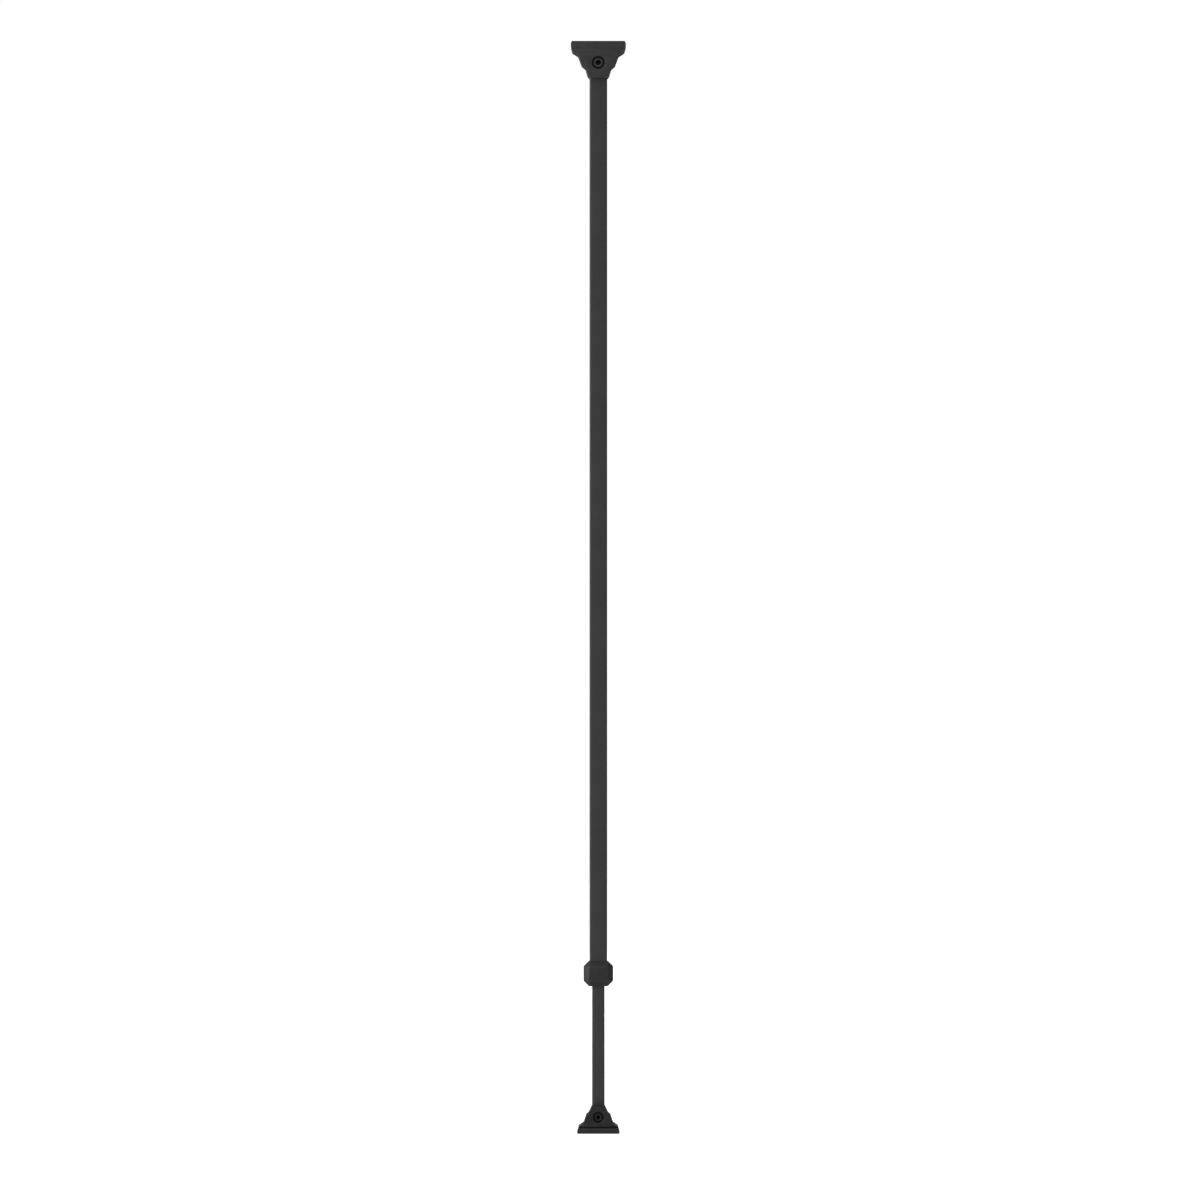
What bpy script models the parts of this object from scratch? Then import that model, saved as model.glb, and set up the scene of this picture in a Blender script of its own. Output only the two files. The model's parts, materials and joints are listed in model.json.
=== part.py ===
"""Door security bar: a telescoping square bar with a swivelling shoe at each end.

The bar stands along +Z on the foot shoe's rubber pad. Both pivot screws lie along Y, with their
heads at the front (-Y), and the shoes are widest along X. Lengths are in metres.
"""

import math
from dataclasses import dataclass

import bmesh
import bpy
from mathutils import Matrix, Vector

# ---- driving dimensions --------------------------------------------------------------------

BAR_LENGTH = 1.1796          # foot pad's face to head pad's face, at rest
GAP = 0.00028                # kept between pieces that touch
ROUND_SIDES = 24             # sides of a round piece
SMALL_SIDES = 16             # sides of a screw's or pin's hole
SMOOTH_ANGLE = math.radians(35)

OUTER_TUBE_SIDE = 0.01905
OUTER_TUBE_CORNER = 0.0021
INNER_TUBE_SIDE = 0.0137
INNER_TUBE_CORNER = 0.0017
TUBE_WALL = 0.0012
INNER_TUBE_TOP = 0.560
OUTER_TUBE_BOTTOM = 0.1622

COLLAR_SIDE = 0.0321
COLLAR_BOTTOM = 0.1590
COLLAR_TOP = 0.1860
COLLAR_CHAMFER = 0.0058
COLLAR_FLOOR = 0.0016
COLLAR_SEAT = 0.0002         # room round the outer tube in the collar
COLLAR_LIP = 0.00035         # room round the inner tube at its mouth
LINER_WALL = 0.0009
LINER_TOP = 0.225
LINER_FLANGE = 0.0011

CLAMP_Z = (COLLAR_BOTTOM + COLLAR_TOP) / 2
CLAMP_THREAD_RADIUS = 0.0025
CLAMP_INSERT_RADIUS = 0.0040
THREAD_PLAY = 0.0002
INSERT_INNER_GAP = 0.0004    # between the brass insert and the outer tube
INSERT_INSET = 0.00015       # the insert's end inside the collar's rear face
CLAMP_PAD_OUT = 0.0003       # the clamp pad's outer end beyond the outer tube
CLAMP_SCREW_INSET = 0.0005   # the clamp screw's outer end inside the collar's rear face
CLAMP_SOCKET_FLATS = 0.0025
CLAMP_SOCKET_DEPTH = 0.0024
CLAMP_SCREW_EDGE = 0.0003

COLLAR_SCREW_RADIUS = 0.00145
COLLAR_SCREW_HEAD_RADIUS = 0.0030
COLLAR_SCREW_HEAD = 0.0019
COLLAR_SCREW_FLATS = 0.0020
COLLAR_SCREW_SOCKET = 0.0012
SCREW_EDGE = 0.0004          # bevel of a screw's head and tip

SLIDER_HEAD = 0.014
SLIDER_TAIL = 0.020
SLIDER_PIN_RADIUS = 0.0015
PIN_INSET = 0.0001           # a fixed pin or flange inside the face round it

WASHER = 0.0008
WASHER_SPREAD = 0.41         # its radius, against the side of the tube
BUSH_WALL = 0.0009
BUSH_INSET = 0.00005         # a bush is this much shorter than its tube is wide, at each end
NUT_HEX_SHARE = 0.74         # of the nut's height, with its round collar above
NUT_COLLAR_INSET = 0.0003
NUT_RING_WALL = 0.0008
NUT_RING_GAP = 0.00022
PLUG_TAIL = 0.022            # how far a tube's plug reaches behind its pivot
PLUG_NECK = 0.9              # half width of the neck below the nose, against the plug's
PLUG_NECK_OVERLAP = 0.002
NOSE_INSET = 0.0004          # the nose's front and rear inside the tube's
NOSE_STEPS = 10

SHOE_EDGE = 0.0006           # bevel round the shoe's front and rear faces, head size
PAD_EDGE = 0.0005
PAD_PROUD = 0.0005           # pad's front beyond the shoe's front
GROOVE_DEPTH = 0.0010
BEYOND = 0.05                # how far a cutter runs past what it cuts
TREAD_PLACES = (0.0030, 0.0084, 0.0138)
TREAD_WIDTH = 0.0022
TREAD_DEPTH = 0.0008
TREAD_BORDER = 0.0040
STUD_PLACE = 0.0165
STUD_NECK = 0.0026
STUD_HEAD = 0.0038
STUD_HEAD_HEIGHT = 0.0013
STUD_SIDES = 16


@dataclass(frozen=True)
class End:
    """One end of the bar: its shoe, the pivot in it, and the tube that turns on the pivot."""

    name: str
    size: float              # of its small features, against the head's
    face: float              # height of the bearing face
    way: int                 # +1 where the bar leaves the shoe upwards, -1 downwards
    depth: float             # of the shoe, front to back
    pivot: float             # bearing face to pivot axis
    slot_floor: float        # bearing face to the floor of the slot between the cheeks
    tube_side: float
    tube_end: float          # the tube's end beyond the pivot axis
    nose: float              # radius of the plug's nose about the pivot axis
    screw: float             # radius of the screw's shank
    head: float              # radius of its head
    head_height: float
    flats: float             # across the flats of its hex socket
    bore: float              # radius of the counterbore
    bore_depth: float
    nut_flats: float
    nut_height: float
    nut_wall: float          # of the rear cheek behind the nut
    groove: float            # height of the groove above the pad, front and rear
    outline: tuple           # shoe's right side: (half width, distance from face, corner radius)
    pad_outline: tuple       # the same for the pad

    @property
    def pivot_z(self):
        return self.face + self.way * self.pivot

    @property
    def slot_half(self):
        return self.tube_side / 2 + WASHER + 2 * GAP

    @property
    def bush(self):
        """Outer radius of the pivot bush."""
        return self.screw + GAP + BUSH_WALL

    def z(self, distance):
        """The height of a point this far from the bearing face."""
        return self.face + self.way * distance


FOOT = End(
    name="foot", size=0.775, face=0.0, way=1, depth=0.0304, pivot=0.0178,
    slot_floor=0.0090, tube_side=INNER_TUBE_SIDE, tube_end=0.0035, nose=0.0075,
    screw=0.0025, head=0.00425, head_height=0.0050, flats=0.0040,
    bore=0.0057, bore_depth=0.0055, nut_flats=0.0080, nut_height=0.0042, nut_wall=0.0021,
    groove=0.0013,
    outline=(
        (0.02180, 0.00597, 0.0007),
        (0.02140, 0.00780, 0.0010),
        (0.01580, 0.01140, 0.0020),
        (0.01320, 0.01960, 0.0011),
        (0.01030, 0.02240, 0.0013),
        (0.00660, 0.03040, 0.0006),
    ),
    pad_outline=(
        (0.02350, 0.00000, 0.0014),
        (0.02160, 0.00574, 0.0006),
    ),
)
HEAD = End(
    name="head", size=1.0, face=BAR_LENGTH, way=-1, depth=0.0386, pivot=0.0233,
    slot_floor=0.0116, tube_side=OUTER_TUBE_SIDE, tube_end=0.0045, nose=0.0103,
    screw=0.0030, head=0.0050, head_height=0.0060, flats=0.0050,
    bore=0.0070, bore_depth=0.0066, nut_flats=0.0100, nut_height=0.0050, nut_wall=0.0024,
    groove=0.0,
    outline=(
        (0.02930, 0.00770, 0.0009),
        (0.02800, 0.01130, 0.0014),
        (0.02190, 0.01520, 0.0026),
        (0.01810, 0.02540, 0.0014),
        (0.01380, 0.02930, 0.0020),
        (0.01180, 0.03640, 0.0012),
        (0.00960, 0.03940, 0.0008),
    ),
    pad_outline=(
        (0.02870, 0.00000, 0.0012),
        (0.02980, 0.00290, 0.0025),
        (0.02950, 0.00740, 0.0008),
    ),
)

# ---- scene and materials -------------------------------------------------------------------


def clear_scene():
    for obj in list(bpy.data.objects):
        bpy.data.objects.remove(obj, do_unlink=True)


def make_material(name, colour, roughness, metallic=0.0):
    material = bpy.data.materials.new(name)
    material.use_nodes = True
    shader = material.node_tree.nodes["Principled BSDF"]
    shader.inputs["Base Color"].default_value = (*colour, 1.0)
    shader.inputs["Roughness"].default_value = roughness
    shader.inputs["Metallic"].default_value = metallic
    return material


def make_materials():
    return {
        "coat": make_material("black_powder_coat", (0.042, 0.042, 0.043), 0.55),
        "moulded": make_material("moulded_nylon", (0.036, 0.036, 0.037), 0.60),
        "rubber": make_material("black_rubber", (0.030, 0.030, 0.030), 0.80),
        "screw": make_material("blackened_steel", (0.050, 0.050, 0.052), 0.38, 1.0),
        "zinc": make_material("zinc_steel", (0.55, 0.56, 0.57), 0.35, 1.0),
        "brass": make_material("brass", (0.72, 0.52, 0.24), 0.35, 1.0),
        "nylon": make_material("natural_nylon", (0.72, 0.71, 0.66), 0.50),
    }


def make_group(name, location):
    """The empty that a moving group turns or slides on. Its origin lies on the joint's axis."""
    empty = bpy.data.objects.new(name, None)
    empty.location = location
    bpy.context.scene.collection.objects.link(empty)
    return empty


def add_piece(name, mesh_data, material=None, group=None):
    """An object from a bmesh drawn in the bar's own frame, with its origin at its group's."""
    mesh = bpy.data.meshes.new(name)
    bmesh.ops.recalc_face_normals(mesh_data, faces=mesh_data.faces)
    mesh_data.to_mesh(mesh)
    mesh_data.free()
    obj = bpy.data.objects.new(name, mesh)
    bpy.context.scene.collection.objects.link(obj)
    if group:
        mesh.transform(Matrix.Translation(-group.location))
        obj.parent = group
    if material:
        mesh.materials.append(material)
    return obj


def boolean(obj, shape, operation):
    """Cuts a shape from the object, or joins it on. The shape stays as a hidden helper object."""
    helper = add_piece(f"{obj.name}_{operation.lower()}_{len(obj.modifiers)}", shape)
    helper.hide_render = True
    helper.display_type = "WIRE"
    modifier = obj.modifiers.new(helper.name, "BOOLEAN")
    modifier.operation = operation
    modifier.object = helper
    modifier.solver = "EXACT"


def cut(obj, shape):
    boolean(obj, shape, "DIFFERENCE")


def join(obj, shape):
    boolean(obj, shape, "UNION")


def settle_shapes():
    """Applies each piece's booleans, removes their helpers and shades the pieces smooth by angle."""
    bpy.context.view_layer.update()
    graph = bpy.context.evaluated_depsgraph_get()
    pieces = [obj for obj in bpy.data.objects if obj.type == "MESH" and not obj.hide_render]
    meshes = [bpy.data.meshes.new_from_object(obj.evaluated_get(graph)) for obj in pieces]
    for obj, mesh in zip(pieces, meshes):
        obj.modifiers.clear()
        obj.data = mesh
        mesh.name = obj.name
        mesh.shade_smooth()
        mesh.set_sharp_from_angle(angle=SMOOTH_ANGLE)
    for helper in [obj for obj in bpy.data.objects if obj.hide_render]:
        bpy.data.objects.remove(helper, do_unlink=True)


# ---- outlines and solids -------------------------------------------------------------------


def rounded_outline(corners, steps):
    """A closed outline through (x, y, radius) corners, with each corner turned into an arc."""
    points = []
    count = len(corners)
    for i, (x, y, radius) in enumerate(corners):
        corner = Vector((x, y))
        before = (Vector(corners[i - 1][:2]) - corner).normalized()
        after = (Vector(corners[(i + 1) % count][:2]) - corner).normalized()
        half_turn = before.angle(after) / 2
        setback = radius / math.tan(half_turn)
        centre = corner + (before + after).normalized() * (radius / math.sin(half_turn))
        start = corner + before * setback - centre
        swing = start.angle_signed(corner + after * setback - centre)
        for step in range(steps + 1):
            turned = start.copy()
            turned.rotate(Matrix.Rotation(-swing * step / steps, 2))
            points.append(centre + turned)
    return points


def square_outline(half, corner, steps=3):
    signs = ((1, 1), (-1, 1), (-1, -1), (1, -1))
    return rounded_outline([(half * sx, half * sy, corner) for sx, sy in signs], steps)


def inset_outline(points, amount):
    """The outline moved inwards by this amount. It has as many points as before."""
    count = len(points)
    area = sum(points[i - 1].cross(points[i]) for i in range(count))
    turn = math.copysign(amount, area)
    moved = []
    for i, point in enumerate(points):
        ahead = (points[(i + 1) % count] - point).normalized()
        behind = (point - points[i - 1]).normalized()
        along = (ahead + behind).normalized()
        moved.append(point + Vector((-along.y, along.x)) * turn / along.dot(ahead))
    return moved


def loft(loops, closed=False):
    """A solid through loops of equal length: capped at both ends, or closed back to the first."""
    solid = bmesh.new()
    rings = [[solid.verts.new(place) for place in loop] for loop in loops]
    pairs = list(zip(rings, rings[1:]))
    if closed:
        pairs.append((rings[-1], rings[0]))
    else:
        solid.faces.new(rings[0])
        solid.faces.new(rings[-1])
    for first, second in pairs:
        for i in range(len(first)):
            solid.faces.new((first[i - 1], first[i], second[i], second[i - 1]))
    return solid


def at_height(points, z):
    return [(p.x, p.y, z) for p in points]


def at_depth(points, y):
    """An outline drawn in the XZ plane, at this place along Y."""
    return [(p.x, y, p.y) for p in points]


def prism(points, low, high):
    return loft([at_height(points, low), at_height(points, high)])


def slab(points, half, edge):
    """A block along Y from an outline in XZ, with its front and rear edges bevelled."""
    inner = inset_outline(points, edge)
    loops = [at_depth(inner, -half), at_depth(points, edge - half),
             at_depth(points, half - edge), at_depth(inner, half)]
    return loft(loops)


def box(x, y, z):
    """A box from three (low, high) pairs."""
    corners = ((x[0], y[0]), (x[1], y[0]), (x[1], y[1]), (x[0], y[1]))
    return prism([Vector(corner) for corner in corners], *z)


def square_tube(outer, corner, wall, low, high):
    """A square tube along Z, open at both ends."""
    outside = square_outline(outer, corner)
    inside = square_outline(outer - wall, corner * 0.45)
    loops = [at_height(outside, low), at_height(outside, high),
             at_height(inside, high), at_height(inside, low)]
    return loft(loops, closed=True)


def axis_turn(axis):
    """The rotation that carries +Z to this axis."""
    return Vector((0, 0, 1)).rotation_difference(Vector(axis)).to_matrix().to_4x4()


def circle(radius, along, sides):
    angles = [2 * math.pi * side / sides for side in range(sides)]
    return [(radius * math.cos(angle), radius * math.sin(angle), along) for angle in angles]


def turned(profile, axis, place, sides=ROUND_SIDES, closed=False):
    """A solid of revolution from (radius, distance along the axis) points."""
    solid = loft([circle(radius, along, sides) for radius, along in profile], closed)
    solid.transform(Matrix.Translation(place) @ axis_turn(axis))
    return solid


def rod(radius, axis, place, length, sides=ROUND_SIDES):
    """A cylinder that starts at place and runs along the axis."""
    return turned(((radius, 0.0), (radius, length)), axis, place, sides)


def ring(inner, outer, axis, place, length):
    """A washer or bush."""
    profile = ((outer, 0.0), (outer, length), (inner, length), (inner, 0.0))
    return turned(profile, axis, place, closed=True)


def hexagon(flats, axis, place, length):
    return rod(flats / math.sqrt(3), axis, place, length, sides=6)


def socket_screw(head, head_height, shank, length, axis, place):
    """A cap screw. Place is under the head, and the axis points from the head to the tip."""
    profile = (
        (head - SCREW_EDGE, -head_height),
        (head, -head_height + SCREW_EDGE),
        (head, 0.0),
        (shank, 0.0),
        (shank, length - SCREW_EDGE),
        (shank - SCREW_EDGE, length),
    )
    return turned(profile, axis, place)


# ---- shoes ---------------------------------------------------------------------------------


def whole_outline(end, right_side):
    """A closed outline from its right side, mirrored to the left, at the end's own height."""
    right = [(x, end.z(distance), radius) for x, distance, radius in right_side]
    left = [(-x, z, radius) for x, z, radius in reversed(right)]
    return rounded_outline(right + left, 3)


def make_shoe(end, materials, group):
    """The clevis: a stepped block with a slot for the tube, a counterbore and a nut pocket."""
    half = end.depth / 2
    block = slab(whole_outline(end, end.outline), half, SHOE_EDGE * end.size)
    shoe = add_piece(f"{end.name}_shoe", block, materials["moulded"], group)
    slot_z = sorted((end.z(end.slot_floor), end.z(BEYOND)))
    cut(shoe, box((-BEYOND, BEYOND), (-end.slot_half, end.slot_half), slot_z))
    front = Vector((0, -half, end.pivot_z))
    cut(shoe, rod(end.bore, (0, 1, 0), front - Vector((0, BEYOND, 0)), BEYOND + end.bore_depth))
    cut(shoe, rod(end.screw + GAP, (0, 1, 0), front, end.depth))
    pocket = Vector((0, end.slot_half + end.nut_wall, end.pivot_z))
    cut(shoe, hexagon(end.nut_flats + 2 * GAP, (0, 1, 0), pocket, BEYOND))
    if end.groove:
        seam = end.outline[0][1]
        groove_z = sorted((end.z(seam - BEYOND), end.z(seam + end.groove)))
        for side in (-1, 1):
            groove_y = sorted((side * (half - GROOVE_DEPTH), side * BEYOND))
            cut(shoe, box((-BEYOND, BEYOND), groove_y, groove_z))
    for side in (-1, 1):
        cut_stud_hole(shoe, end, side)
    return shoe


def stud_sizes(end):
    """Radius of the stud's neck, radius of its head, and the head's height."""
    return STUD_NECK * end.size, STUD_HEAD * end.size, STUD_HEAD_HEIGHT * end.size


def cut_stud_hole(shoe, end, side):
    neck, head, head_height = stud_sizes(end)
    place = Vector((side * STUD_PLACE * end.size, 0, end.z(0)))
    away = (0, 0, end.way)
    cut(shoe, rod(neck + GAP, away, place, 2 * end.slot_floor, STUD_SIDES))
    recess = place + Vector(away) * (end.slot_floor - head_height - GAP)
    cut(shoe, rod(head + GAP, away, recess, end.slot_floor / 2, STUD_SIDES))


def make_pad(end, materials, group):
    """The rubber pad, held by two snap studs, with a tread inside a plain border."""
    half = end.depth / 2 + PAD_PROUD
    block = slab(whole_outline(end, end.pad_outline), half, PAD_EDGE)
    pad = add_piece(f"{end.name}_pad", block, materials["rubber"], group)

    neck, head, head_height = stud_sizes(end)
    for side in (-1, 1):
        start = end.pad_outline[-1][1] / 2
        under_head = end.slot_floor - head_height
        profile = (
            (neck, start), (neck, under_head), (head, under_head),
            (head * 0.8, end.slot_floor - GAP),
        )
        place = Vector((side * STUD_PLACE * end.size, 0, end.z(0)))
        join(pad, turned(profile, (0, 0, end.way), place, STUD_SIDES))
    tread_z = sorted((end.z(-BEYOND), end.z(TREAD_DEPTH * end.size)))
    tread_x = end.pad_outline[0][0] - TREAD_BORDER * end.size
    for place in TREAD_PLACES:
        for side in (-1, 1):
            middle = side * place * end.size
            width = TREAD_WIDTH * end.size
            cut(pad, box((-tread_x, tread_x), (middle - width / 2, middle + width / 2), tread_z))
    return pad


def make_pivot(end, materials, group):
    """The screw, lock nut and washers that stay with the shoe."""
    half = end.depth / 2
    under_head = -half + end.bore_depth - GAP
    nut_start = end.slot_half + end.nut_wall + GAP
    tip = nut_start + end.nut_height + SCREW_EDGE
    place = Vector((0, under_head, end.pivot_z))
    screw = add_piece(
        f"{end.name}_pivot_screw",
        socket_screw(end.head, end.head_height, end.screw, tip - under_head, (0, 1, 0), place),
        materials["screw"], group,
    )
    top = place - Vector((0, BEYOND, 0))
    cut(screw, hexagon(end.flats, (0, 1, 0), top, BEYOND - end.head_height / 2))

    hex_height = end.nut_height * NUT_HEX_SHARE
    start = Vector((0, nut_start, end.pivot_z))
    nut = add_piece(
        f"{end.name}_pivot_nut", hexagon(end.nut_flats, (0, 1, 0), start, hex_height),
        materials["zinc"], group,
    )
    join(nut, rod(end.nut_flats / 2 - NUT_COLLAR_INSET, (0, 1, 0), start, end.nut_height))
    cut(nut, rod(end.screw + GAP, (0, 1, 0), place, BEYOND))
    seat = end.screw + GAP + NUT_RING_WALL
    ring_start = start + Vector((0, hex_height, 0))
    cut(nut, rod(seat, (0, 1, 0), ring_start, BEYOND))
    add_piece(
        f"{end.name}_nut_ring",
        ring(end.screw + GAP, seat - NUT_RING_GAP, (0, 1, 0), ring_start + Vector((0, NUT_RING_GAP, 0)),
             end.nut_height - hex_height - 2 * NUT_RING_GAP),
        materials["nylon"], group,
    )
    inner = end.tube_side / 2 + GAP
    outer_radius = end.tube_side * WASHER_SPREAD
    for name, y in (("front", -inner - WASHER), ("rear", inner)):
        add_piece(
            f"{end.name}_washer_{name}",
            ring(end.screw + GAP, outer_radius, (0, 1, 0), Vector((0, y, end.pivot_z)), WASHER),
            materials["moulded"], group,
        )


# ---- tubes and what is fixed in them -------------------------------------------------------


def make_plug(end, materials, group):
    """The plug in the tube's pivoted end, with a nose that clears the slot's floor as it turns."""
    inside = end.tube_side / 2 - TUBE_WALL - GAP
    tail = sorted((end.pivot_z + end.way * PLUG_TAIL * end.size,
                   end.pivot_z - end.way * end.tube_end))
    plug = add_piece(
        "inner_tube_plug" if end is FOOT else "outer_tube_plug",
        prism(square_outline(inside, 0.0008, 2), tail[0], tail[1]), materials["nylon"], group,
    )
    base = end.tube_end + GAP
    reach = math.acos(base / end.nose)
    arc = []
    for step in range(NOSE_STEPS + 1):
        angle = -reach + 2 * reach * step / NOSE_STEPS
        x, z = end.nose * math.sin(angle), end.nose * math.cos(angle)
        arc.append(Vector((x, end.pivot_z - end.way * z)))
    half = end.tube_side / 2 - NOSE_INSET
    join(plug, loft([at_depth(arc, -half), at_depth(arc, half)]))
    neck_z = sorted((end.pivot_z - end.way * (end.tube_end - PLUG_NECK_OVERLAP),
                     end.pivot_z - end.way * (base + PLUG_NECK_OVERLAP / 2)))
    neck = (-inside * PLUG_NECK, inside * PLUG_NECK)
    join(plug, box(neck, neck, neck_z))
    across = Vector((0, -end.tube_side, end.pivot_z))
    cut(plug, rod(end.bush + GAP, (0, 1, 0), across, 2 * end.tube_side))
    half_bush = end.tube_side / 2 - BUSH_INSET
    add_piece(
        f"{end.name}_pivot_bush",
        ring(end.screw + GAP, end.bush, (0, 1, 0), Vector((0, -half_bush, end.pivot_z)), 2 * half_bush),
        materials["zinc"], group,
    )


def make_inner_tube(materials, group):
    half = INNER_TUBE_SIDE / 2
    low = FOOT.pivot_z - FOOT.tube_end
    tube = add_piece(
        "inner_tube", square_tube(half, INNER_TUBE_CORNER, TUBE_WALL, low, INNER_TUBE_TOP),
        materials["coat"], group,
    )
    cut(tube, rod(FOOT.bush + GAP, (0, 1, 0), Vector((0, -BEYOND, FOOT.pivot_z)), 2 * BEYOND))
    pin_z = INNER_TUBE_TOP - SLIDER_TAIL / 2
    pin_hole = SLIDER_PIN_RADIUS + GAP
    cut(tube, rod(pin_hole, (1, 0, 0), Vector((-BEYOND, 0, pin_z)), 2 * BEYOND, SMALL_SIDES))

    slider_half = OUTER_TUBE_SIDE / 2 - TUBE_WALL - GAP
    head_low = INNER_TUBE_TOP + GAP
    slider = add_piece(
        "inner_tube_slider",
        prism(square_outline(slider_half, 0.0012, 2), head_low, head_low + SLIDER_HEAD),
        materials["nylon"], group,
    )
    tail_half = half - TUBE_WALL - GAP
    tail_low = INNER_TUBE_TOP - SLIDER_TAIL
    join(slider, prism(square_outline(tail_half, 0.0006, 2), tail_low, head_low + SLIDER_HEAD / 7))
    cut(slider, rod(pin_hole, (1, 0, 0), Vector((-BEYOND, 0, pin_z)), 2 * BEYOND, SMALL_SIDES))
    pin_half = half - PIN_INSET
    add_piece(
        "slider_pin",
        rod(SLIDER_PIN_RADIUS, (1, 0, 0), Vector((-pin_half, 0, pin_z)), 2 * pin_half, SMALL_SIDES),
        materials["screw"], group,
    )
    make_plug(FOOT, materials, group)


def make_outer_tube(materials, group):
    half = OUTER_TUBE_SIDE / 2
    high = HEAD.pivot_z + HEAD.tube_end
    tube = add_piece(
        "outer_tube", square_tube(half, OUTER_TUBE_CORNER, TUBE_WALL, OUTER_TUBE_BOTTOM, high),
        materials["coat"], group,
    )
    cut(tube, rod(HEAD.bush + GAP, (0, 1, 0), Vector((0, -BEYOND, HEAD.pivot_z)), 2 * BEYOND))
    middle = Vector((0, 0, CLAMP_Z))
    across = Vector((-BEYOND, 0, CLAMP_Z))
    cut(tube, rod(CLAMP_THREAD_RADIUS + GAP, (0, 1, 0), middle, BEYOND, SMALL_SIDES))
    cut(tube, rod(COLLAR_SCREW_RADIUS + GAP, (1, 0, 0), across, 2 * BEYOND, SMALL_SIDES))
    make_plug(HEAD, materials, group)


def make_liner(materials, group):
    """The guide sleeve between the tubes. Its flange is held under the outer tube's end."""
    outer = OUTER_TUBE_SIDE / 2 - TUBE_WALL - GAP
    flange_high = OUTER_TUBE_BOTTOM - GAP
    flange_low = flange_high - LINER_FLANGE
    liner = add_piece(
        "collar_liner", square_tube(outer, 0.0014, LINER_WALL, flange_low, LINER_TOP),
        materials["nylon"], group,
    )
    flange_half = OUTER_TUBE_SIDE / 2 - PIN_INSET
    join(liner, square_tube(flange_half, OUTER_TUBE_CORNER, flange_half - outer + LINER_WALL / 2,
                            flange_low, flange_high))
    cut(liner, rod(CLAMP_THREAD_RADIUS + GAP, (0, 1, 0), Vector((0, 0, CLAMP_Z)), BEYOND, SMALL_SIDES))


def make_collar(materials, group):
    """A block with all twelve edges chamfered, bored for both tubes, the clamp and two screws."""
    half = COLLAR_SIDE / 2
    block = box((-half, half), (-half, half), (COLLAR_BOTTOM, COLLAR_TOP))
    bmesh.ops.recalc_face_normals(block, faces=block.faces)
    bmesh.ops.bevel(block, geom=block.edges[:], offset=COLLAR_CHAMFER, segments=1, affect="EDGES")
    collar = add_piece("collar", block, materials["moulded"], group)

    middle = Vector((0, 0, CLAMP_Z))
    floor = COLLAR_BOTTOM + COLLAR_FLOOR
    socket = square_outline(OUTER_TUBE_SIDE / 2 + COLLAR_SEAT, OUTER_TUBE_CORNER + COLLAR_SEAT)
    cut(collar, prism(socket, floor, COLLAR_TOP + BEYOND))
    lip = square_outline(INNER_TUBE_SIDE / 2 + COLLAR_LIP, INNER_TUBE_CORNER)
    cut(collar, prism(lip, COLLAR_BOTTOM - BEYOND, CLAMP_Z))
    cut(collar, rod(CLAMP_INSERT_RADIUS + COLLAR_SEAT, (0, 1, 0), middle, BEYOND))
    for side in (-1, 1):
        outwards = (side, 0, 0)
        cut(collar, rod(COLLAR_SCREW_RADIUS + GAP, outwards, middle, BEYOND, SMALL_SIDES))
        seat = Vector((side * (half - COLLAR_SCREW_HEAD - 2 * GAP), 0, CLAMP_Z))
        cut(collar, rod(COLLAR_SCREW_HEAD_RADIUS + GAP, outwards, seat, BEYOND))
    for name, side in (("left", -1), ("right", 1)):
        make_collar_screw(f"collar_screw_{name}", side, materials, group)


def make_collar_screw(name, side, materials, group):
    half = COLLAR_SIDE / 2
    under_head = half - COLLAR_SCREW_HEAD - GAP
    tip = OUTER_TUBE_SIDE / 2 - TUBE_WALL + 0.0002
    place = Vector((side * under_head, 0, CLAMP_Z))
    screw = add_piece(
        name,
        socket_screw(COLLAR_SCREW_HEAD_RADIUS, COLLAR_SCREW_HEAD, COLLAR_SCREW_RADIUS,
                     under_head - tip, (-side, 0, 0), place),
        materials["screw"], group,
    )
    outside = Vector((side * (half + BEYOND), 0, CLAMP_Z))
    depth = BEYOND + GAP + COLLAR_SCREW_SOCKET
    cut(screw, hexagon(COLLAR_SCREW_FLATS, (-side, 0, 0), outside, depth))


def make_clamp(materials, collar_group, clamp_group):
    """A brass thread fixed in the collar's rear wall, and the set screw and pad that move."""
    tube_face = OUTER_TUBE_SIDE / 2
    half = COLLAR_SIDE / 2
    insert_low = tube_face + INSERT_INNER_GAP
    insert_high = half - INSERT_INSET
    add_piece(
        "clamp_insert",
        ring(CLAMP_THREAD_RADIUS + THREAD_PLAY, CLAMP_INSERT_RADIUS, (0, 1, 0),
             Vector((0, insert_low, CLAMP_Z)), insert_high - insert_low),
        materials["brass"], collar_group,
    )
    pad_low = INNER_TUBE_SIDE / 2 + GAP
    pad_high = tube_face + CLAMP_PAD_OUT
    add_piece(
        "clamp_pad",
        rod(CLAMP_THREAD_RADIUS - PIN_INSET, (0, 1, 0), Vector((0, pad_low, CLAMP_Z)), pad_high - pad_low),
        materials["nylon"], clamp_group,
    )
    start = pad_high + GAP
    length = half - CLAMP_SCREW_INSET - start
    radius, edge = CLAMP_THREAD_RADIUS, CLAMP_SCREW_EDGE
    profile = ((radius - 2 * edge, 0.0), (radius, 2 * edge), (radius, length - edge), (radius - edge, length))
    shape = turned(profile, (0, 1, 0), Vector((0, start, CLAMP_Z)))
    screw = add_piece("clamp_screw", shape, materials["screw"], clamp_group)
    socket_low = start + length - CLAMP_SOCKET_DEPTH
    cut(screw, hexagon(CLAMP_SOCKET_FLATS, (0, 1, 0), Vector((0, socket_low, CLAMP_Z)), BEYOND))


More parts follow.
